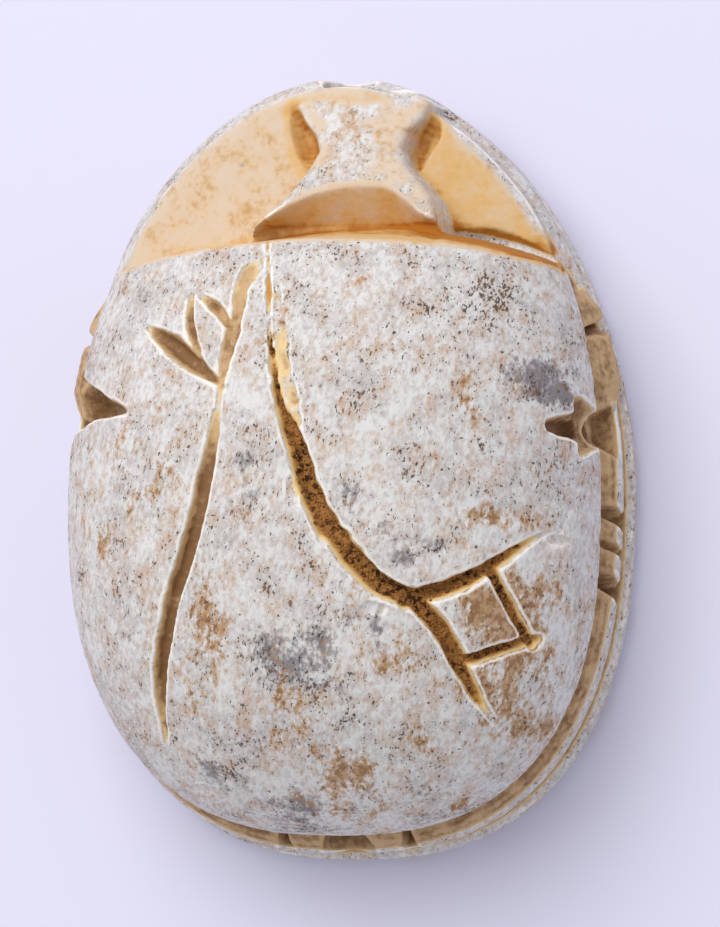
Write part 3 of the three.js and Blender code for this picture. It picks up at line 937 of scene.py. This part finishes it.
@dataclass(frozen=True)
class StoneFinish:
    """Pale, mottled stone with soil in its cuts and amber where its skin has worn off; painted shade deepens
    the amber in the front's corners and dulls the leg band under the back's edge.
    """

    chalk: tuple[float, ...] = rgb(222, 221, 220)
    cool: tuple[float, ...] = rgb(190, 184, 181)
    blush: tuple[float, ...] = rgb(198, 174, 156)
    grey: tuple[float, ...] = rgb(118, 112, 118)
    ochre: tuple[float, ...] = rgb(180, 138, 90)
    rust: tuple[float, ...] = rgb(130, 90, 54)
    fleck: tuple[float, ...] = rgb(66, 62, 56)
    brown_fleck: tuple[float, ...] = rgb(112, 76, 48)
    bright: tuple[float, ...] = rgb(246, 242, 236)
    cream: tuple[float, ...] = rgb(232, 204, 150)
    honey: tuple[float, ...] = rgb(206, 158, 88)
    soil: tuple[float, ...] = rgb(166, 116, 62)
    dark_soil: tuple[float, ...] = rgb(66, 38, 14)
    # tan of the dust and of the leg band, whose duller tone is partly painted shade; the darker tone also
    # paints the shade in the crease over the base
    dust_and_shade: tuple[float, ...] = rgb(202, 168, 126)
    dark_dust_and_shade: tuple[float, ...] = rgb(134, 98, 62)
    peach: tuple[float, ...] = rgb(216, 196, 174)
    amber: tuple[float, ...] = rgb(218, 176, 112)
    # dark amber paints the shade in the front's deepest corners, pits and wall foot
    dark_amber_and_shade: tuple[float, ...] = rgb(176, 108, 20)

    def build(self) -> bpy.types.Material:
        """Builds the material.

        Returns:
            The material, which reads the marks of the surface and Object coordinates.
        """
        material = bpy.data.materials.new("weathered stone")
        material.use_nodes = True
        material.node_tree.nodes.clear()
        tree = Tree(material.node_tree)
        metres = tree.node("ShaderNodeTexCoord").outputs["Object"]
        scaled = tree.node("ShaderNodeVectorMath", {"operation": "SCALE"}, {0: metres, "Scale": 1 / MM})
        place = scaled.outputs[0]
        fine = tree.noise(place, 5.0, 2.0)
        cloud = tree.noise(place, 1.3, 3.0)
        colour = self.skin(tree, place, fine, cloud)
        colour = self.amber_parts(tree, fine, cloud, colour)
        colour = self.dusty_cuts_and_shaded_band(tree, fine, cloud, colour)
        colour = self.soiled_cuts(tree, place, fine, cloud, colour)
        roughness = 0.66 + 0.28 * tree.mark("soil").clipped()
        bump = tree.node("ShaderNodeBump", None, {"Strength": 0.5, "Distance": 0.03 * MM, "Height": fine})
        shader = tree.node("ShaderNodeBsdfPrincipled", None,
                           {"Base Color": colour, "Roughness": roughness, "Normal": bump.outputs[0],
                            "Specular IOR Level": 0.3})
        tree.node("ShaderNodeOutputMaterial", None, {"Surface": shader.outputs[0]})
        return material

    def skin(self, tree: Tree, place: Any, fine: Value, cloud: Value) -> Any:
        """The pale skin with its mottling, stains, flecks and bright ridges.

        Args:
            tree: The material's tree.
            place: Position in millimetres.
            fine: Fine noise.
            cloud: Coarser noise.

        Returns:
            The colour.
        """
        slant = tree.node("ShaderNodeMapping", {"vector_type": "TEXTURE"},
                          {"Vector": place, "Rotation": (0, 0, math.radians(-14)), "Scale": (1.0, 1.7, 1.3)})
        patches = tree.noise(place, 0.75, 5.0, 0.7)
        streaks = tree.noise(slant.outputs[0], 1.7, 4.0, 0.68)
        grain = tree.noise(slant.outputs[0], 7.0, 3.0, 0.65)
        colour = tree.mix((patches + 0.9 * (grain - 0.5)).step(0.3, 0.7), self.chalk, self.cool)
        warm = (streaks + 0.5 * (cloud - 0.5) + 0.6 * (grain - 0.5)).step(0.4, 0.75)
        colour = tree.mix(warm * 0.8, colour, self.blush)
        # the grey mark includes the wide band over the tail, which is partly painted shade
        smoke = (tree.mark("grey") * 0.85 + 2.4 * (patches - 0.5) + 1.4 * (grain - 0.5)).step(0.3, 0.95)
        colour = tree.mix(smoke * 0.85, colour, self.grey)
        rust = (tree.mark("ochre") * 0.75 + 2.6 * (streaks - 0.5) + 1.5 * (grain - 0.5)).step(0.28, 0.8)
        colour = tree.mix(rust * 0.8, colour, self.ochre)
        colour = tree.mix((rust * fine).step(0.4, 0.6) * 0.7, colour, self.rust)
        colour = self.flecks(tree, slant.outputs[0], grain, patches, cloud, colour)
        ridge = (tree.mark("ridge") + 1.6 * (cloud - 0.5) + 0.6 * (fine - 0.5)).step(0.45, 1.1)
        return tree.mix(ridge * 0.8, colour, self.bright)

    def flecks(self, tree: Tree, slant: Any, grain: Value, patches: Value, cloud: Value,
               colour: Any) -> Any:
        """Small dark mineral grains, thicker in patches and where the surface is marked.

        Args:
            tree: The material's tree.
            slant: Stretched position in millimetres.
            grain: Noise whose peaks are the larger grains.
            patches: Coarse noise that thins and thickens them.
            cloud: Finer noise that does the same.
            colour: The skin under them.

        Returns:
            The colour with the flecks on it.
        """
        more = 0.11 * tree.mark("specks") + 0.5 * (patches - 0.5) + 0.3 * (cloud - 0.5)
        small = tree.noise(slant, 13.0, 1.0)
        colour = tree.mix((grain + more).step(0.66, 0.73) * 0.85, colour, self.brown_fleck)
        return tree.mix((small + more).step(0.67, 0.73) * 0.9, colour, self.fleck)

    def amber_parts(self, tree: Tree, fine: Value, cloud: Value, colour: Any) -> Any:
        """Peach to amber where the facets and hollows of the front have lost their pale skin, going to dark
        amber as painted shade in the deepest corners, in the pits and along the foot of the shoulder wall.

        Args:
            tree: The material's tree.
            fine: Fine noise.
            cloud: Coarser noise.
            colour: The skin under it.

        Returns:
            The colour with the amber laid on.
        """
        mark = tree.mark("amber")
        # hollows push the tone deeper, and the dark amber at the top of the range is painted shade
        depth = mark + 1.1 * (cloud - 0.5) + 0.4 * (fine - 0.5) - 0.3 * tree.mark("ridge")
        tone = tree.mix(depth.step(0.2, 1.0), self.peach, self.amber)
        tone = tree.mix(depth.step(0.9, 1.6), tone, self.dark_amber_and_shade)
        stain = (1.6 * (cloud - 0.5) + 1.2 * (fine - 0.5)).step(0.0, 0.6) * (1.0 - mark).clipped()
        tone = tree.mix(stain, tone, self.ochre)
        tone = tree.mix(tree.mark("grey").step(0.4, 1.1) * 0.75, tone, self.grey)
        return tree.mix((mark + 0.5 * (cloud - 0.5)).step(0.08, 0.3), colour, tone)

    def dusty_cuts_and_shaded_band(self, tree: Tree, fine: Value, cloud: Value, colour: Any) -> Any:
        """Tan dust that has caked in the shallower cuts, darker in the hollows, and the leg band's dull
        brown, which is partly painted shade under the back's edge and darkest as painted shade in the crease
        over the base.

        Args:
            tree: The material's tree.
            fine: Fine noise.
            cloud: Coarser noise.
            colour: The colour under it.

        Returns:
            The colour with the dust and the leg band's painted shade laid on.
        """
        mark = tree.mark("dust_and_shade")
        depth = mark + 1.4 * (cloud - 0.5) + (fine - 0.5) - 0.25 * tree.mark("ridge")
        tone = tree.mix(depth.step(0.35, 1.15), self.dust_and_shade, self.dark_dust_and_shade)
        colour = tree.mix(mark.step(0.03, 0.16), colour, self.cream)
        return tree.mix((mark + 0.4 * (fine - 0.5)).step(0.1, 0.3), colour, tone)

    def soiled_cuts(self, tree: Tree, place: Any, fine: Value, cloud: Value, colour: Any) -> Any:
        """Cream walls and dark crumbly soil in the deep cuts.

        Args:
            tree: The material's tree.
            place: Position in millimetres.
            fine: Fine noise.
            cloud: Coarser noise.
            colour: The colour under it.

        Returns:
            The colour.
        """
        mark = tree.mark("soil")
        cell = tree.node("ShaderNodeTexVoronoi", None, {"Vector": place, "Scale": 8.0})
        grain = tree.value("ShaderNodeSeparateColor", None, {0: cell.outputs["Color"]})
        crumbly = (0.8 * grain + 1.2 * (cloud - 0.5) + 0.8 * (fine - 0.5)).step(0.3, 0.9)
        tone = tree.mix(crumbly, self.soil, self.dark_soil)
        wall = tree.mix((mark + 0.5 * (cloud - 0.5)).step(0.2, 0.6), self.cream, self.honey)
        colour = tree.mix(mark.step(0.03, 0.16), colour, wall)
        share = (mark + 0.7 * (fine - 0.5) + 0.7 * (cloud - 0.5)).step(0.5, 0.85)
        return tree.mix(share, colour, tone)


# ---- weathering of the mesh


@dataclass(frozen=True)
class Weathering:
    """Geometry Nodes tree that roughens the soil, pits the skin and strews crumbs in the cuts.

    Args:
        relief: Height of the caked soil's lumps.
        pits: Depth of the skin's pits.
        crumb: Radius of the largest crumbs.
        crumbs: Crumbs to a square millimetre of soil.
        seed: Start of their random places.
    """

    relief: float = 0.07
    pits: float = 0.02
    crumb: float = 0.075
    crumbs: float = 60.0
    seed: int = 5

    def group(self, material: bpy.types.Material) -> bpy.types.NodeTree:
        """Builds the tree.

        Args:
            material: Finish of the whole stone.

        Returns:
            The node group, with named inputs for its sizes.
        """
        group = bpy.data.node_groups.new("weathering", "GeometryNodeTree")
        inputs = {"Relief": "Float", "Pits": "Float", "Crumb": "Float", "Crumbs": "Float", "Seed": "Int"}
        group.interface.new_socket("Geometry", in_out="INPUT", socket_type="NodeSocketGeometry")
        for name, kind in inputs.items():
            group.interface.new_socket(name, in_out="INPUT", socket_type="NodeSocket" + kind)
        group.interface.new_socket("Geometry", in_out="OUTPUT", socket_type="NodeSocketGeometry")
        tree = Tree(group)
        given = tree.node("NodeGroupInput").outputs
        size = {name: Value(tree, given[name]) for name in inputs}
        soil = tree.value("GeometryNodeInputNamedAttribute", None, {"Name": "soil"})
        place = tree.node("GeometryNodeInputPosition").outputs[0]
        lump = tree.value("ShaderNodeTexVoronoi", None, {"Vector": place, "Scale": 5.0}, "Distance")
        dimple = tree.value("ShaderNodeTexNoise", None, {"Vector": place, "Scale": 2.6, "Detail": 4.0})
        # this mark also covers the leg band's painted shade, so the band gets lumps too
        lumped = soil + 0.6 * tree.value("GeometryNodeInputNamedAttribute", None, {"Name": "dust_and_shade"})
        pitted = size["Pits"] * dimple.step(0.56, 0.72) * (1 - soil)
        lift = size["Relief"] * lumped * (lump - 0.45) - pitted
        normal = tree.node("GeometryNodeInputNormal").outputs[0]
        offset = tree.node("ShaderNodeVectorMath", {"operation": "SCALE"}, {0: normal, "Scale": lift})
        worn = tree.node("GeometryNodeSetPosition", None, {"Geometry": given["Geometry"],
                                                          "Offset": offset.outputs[0]})
        strewn = self.strew(tree, worn.outputs[0], soil, size)
        joined = tree.node("GeometryNodeJoinGeometry")
        for part in (strewn, worn.outputs[0]):
            group.links.new(part, joined.inputs[0])
        real = tree.node("GeometryNodeRealizeInstances", None, {0: joined.outputs[0]})
        done = tree.node("GeometryNodeSetMaterial", None, {"Geometry": real.outputs[0], "Material": material})
        tree.node("NodeGroupOutput", None, {0: done.outputs[0]})
        return group

    def strew(self, tree: Tree, ground: Any, soil: Value, size: dict[str, Value]) -> Any:
        """Strews half-sunk crumbs over the soil.

        Args:
            tree: The tree.
            ground: Geometry they lie on.
            soil: Where soil lies.
            size: The group's inputs.

        Returns:
            The geometry socket of the crumbs.
        """
        points = tree.node("GeometryNodeDistributePointsOnFaces", {"distribute_method": "RANDOM"},
                           {"Mesh": ground, "Seed": size["Seed"],
                            "Density": soil.step(0.45, 0.9) * size["Crumbs"]})
        ball = tree.node("GeometryNodeMeshIcoSphere", None, {"Radius": 1.0, "Subdivisions": 1})
        marked = tree.node("GeometryNodeStoreNamedAttribute", {"data_type": "FLOAT", "domain": "POINT"},
                           {"Geometry": ball.outputs[0], "Name": "soil", "Value": 1.0})
        turn = tree.node("FunctionNodeRandomValue", {"data_type": "FLOAT_VECTOR"},
                         {0: (0, 0, 0), 1: (math.tau, math.tau, math.tau), "Seed": size["Seed"]})
        small = size["Crumb"] * 0.4
        grow = tree.node("FunctionNodeRandomValue", {"data_type": "FLOAT"},
                         {2: small, 3: size["Crumb"], "Seed": size["Seed"]})
        return tree.node("GeometryNodeInstanceOnPoints", None,
                         {"Points": points.outputs[0], "Instance": marked.outputs[0],
                          "Rotation": turn.outputs[0], "Scale": grow.outputs[1]}).outputs[0]

    def apply(self, piece: bpy.types.Object, material: bpy.types.Material) -> None:
        """Weathers a piece for good.

        Args:
            piece: The piece, in millimetres, with its marks.
            material: Finish of the whole stone.
        """
        group = self.group(material)
        modifier = piece.modifiers.new("weathering", "NODES")
        modifier.node_group = group
        values = {"Relief": self.relief, "Pits": self.pits, "Crumb": self.crumb, "Crumbs": self.crumbs,
                  "Seed": self.seed}
        for item in group.interface.items_tree:
            if item.in_out == "INPUT" and item.name in values:
                modifier[item.identifier] = values[item.name]
        settle(piece)


def settle(piece: bpy.types.Object) -> None:
    """Turns a piece's live modifiers into plain mesh and removes them.

    Args:
        piece: The object to settle.
    """
    graph = bpy.context.evaluated_depsgraph_get()
    data = bpy.data.meshes.new_from_object(piece.evaluated_get(graph), preserve_all_data_layers=True,
                                           depsgraph=graph)
    piece.modifiers.clear()
    piece.data = data


# ---- the amulet


@dataclass
class Scarab:
    """The whole amulet: one carved stone.

    Args:
        form: Its sizes.
        node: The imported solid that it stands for.
        finish: Its stone.
        weathering: What age has done to its surface.
        triangles: About how many faces the stone keeps, without its crumbs.
    """

    form: Form
    node: str = "scarab"
    finish: StoneFinish = StoneFinish()
    weathering: Weathering = Weathering()
    triangles: int = 165000

    def build(self) -> bpy.types.Object:
        """Carves, thins, marks, weathers and scales the stone.

        Returns:
            The finished piece, in metres.
        """
        block = StoneBlock(self.form)
        block.carve_all()
        piece = block.mesh("scarab_stone")
        LOG.info("carved stone: %d faces", len(piece.data.polygons))
        thin = piece.modifiers.new("thin", "DECIMATE")
        thin.ratio = self.triangles / (2 * len(piece.data.polygons))
        settle(piece)
        self.mark(piece, block)
        self.weathering.apply(piece, self.finish.build())
        piece.data.transform(Matrix.Scale(MM, 4))
        piece.data.shade_smooth()
        triangles = sum(len(face.vertices) - 2 for face in piece.data.polygons)
        LOG.info("%s: %d triangles", piece.name, triangles)
        return piece

    def mark(self, piece: bpy.types.Object, block: StoneBlock) -> None:
        """Writes the surface's marks onto the mesh.

        Args:
            piece: The stone in millimetres.
            block: The block that it was carved from.
        """
        count = len(piece.data.vertices)
        points = np.empty(count * 3, np.float32)
        piece.data.vertices.foreach_get("co", points)
        for name, values in block.marks(points.reshape(-1, 3).astype(float)).items():
            mark = piece.data.attributes.new(name, "FLOAT", "POINT")
            mark.data.foreach_set("value", values.astype(np.float32))

    def fit(self, piece: bpy.types.Object) -> None:
        """Hands the piece to the frame."""
        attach(piece, "root")
        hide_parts(self.node)


# ---- studio


@dataclass(frozen=True)
class Studio:
    """Pale floor, soft light from the upper left, and a camera nearly straight above.

    Args:
        target: What the camera looks at, in millimetres.
        tilt_right: How far the camera leans to the right of upright, in degrees.
        tilt_back: How far it leans towards the tail, in degrees.
        away: Its distance in millimetres.
        lens: Its focal length.
        floor_colour: Colour of the floor.
        sky_colour: Colour of the light from all around.
        sky_strength: Strength of that light.
        key_place: Where the large lamp hangs, in millimetres.
        key_size: Its side in millimetres.
        key_watts: Its power.
        key_colour: Its colour.
    """

    target: tuple[float, float, float] = (0.6, 0.03, 3.0)
    tilt_right: float = 12.0
    tilt_back: float = 5.0
    away: float = 160.0
    lens: float = 200.0
    floor_colour: tuple[float, ...] = rgb(225, 224, 245)
    sky_colour: tuple[float, ...] = (0.97, 0.97, 1.0, 1.0)
    sky_strength: float = 0.57
    key_place: tuple[float, float, float] = (-100.0, 205.0, 330.0)
    key_size: float = 340.0
    key_watts: float = 1.22
    key_colour: tuple[float, float, float] = (1.0, 0.985, 0.965)

    def build(self) -> None:
        """Sets up floor, light and camera."""
        scene = bpy.context.scene
        scene.view_settings.view_transform = "Standard"
        self.floor()
        self.sky()
        self.softbox("key light")
        scene.camera = self.camera()

    def floor(self) -> None:
        """A plain matt floor that the amulet lies on."""
        bpy.ops.mesh.primitive_plane_add(size=1.0)
        floor = bpy.context.object
        floor.name = "floor"
        material = bpy.data.materials.new("matt floor")
        material.use_nodes = True
        shader = material.node_tree.nodes["Principled BSDF"]
        shader.inputs["Base Color"].default_value = self.floor_colour
        shader.inputs["Roughness"].default_value = 0.9
        floor.data.materials.append(material)

    def sky(self) -> None:
        """Even light from all around."""
        world = bpy.data.worlds.new("studio")
        world.use_nodes = True
        background = world.node_tree.nodes["Background"]
        background.inputs["Color"].default_value = self.sky_colour
        background.inputs["Strength"].default_value = self.sky_strength
        bpy.context.scene.world = world

    def softbox(self, name: str) -> None:
        """A square lamp turned to the amulet.

        Args:
            name: Its name.
        """
        lamp = bpy.data.lights.new(name, "AREA")
        lamp.size = self.key_size * MM
        lamp.energy = self.key_watts
        lamp.color = self.key_colour
        box = bpy.data.objects.new(name, lamp)
        box.location = Vector(self.key_place) * MM
        box.rotation_euler = (-box.location).to_track_quat("-Z", "Y").to_euler()
        bpy.context.scene.collection.objects.link(box)

    def camera(self) -> bpy.types.Object:
        """A long lens over the back of the beetle.

        Returns:
            The camera.
        """
        lens = bpy.data.cameras.new("camera")
        lens.lens = self.lens
        lens.clip_start = 0.001
        camera = bpy.data.objects.new("camera", lens)
        back = Vector((math.tan(math.radians(self.tilt_right)), -math.tan(math.radians(self.tilt_back)), 1))
        back.normalize()
        right = Vector((0, 1, 0)).cross(back).normalized()
        turn = Matrix((right, back.cross(right), back)).transposed().to_4x4()
        camera.matrix_world = Matrix.Translation((Vector(self.target) + back * self.away) * MM) @ turn
        bpy.context.scene.collection.objects.link(camera)
        return camera


# ---- main


def main() -> None:
    """Builds the amulet and the studio, and hands them to the frame."""
    logging.basicConfig(level=logging.INFO, format="%(message)s")
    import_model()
    scarab = Scarab(Form.of_node("scarab"))
    piece = scarab.build()
    scarab.fit(piece)
    Studio().build()


if __name__ == "__main__":
    main()
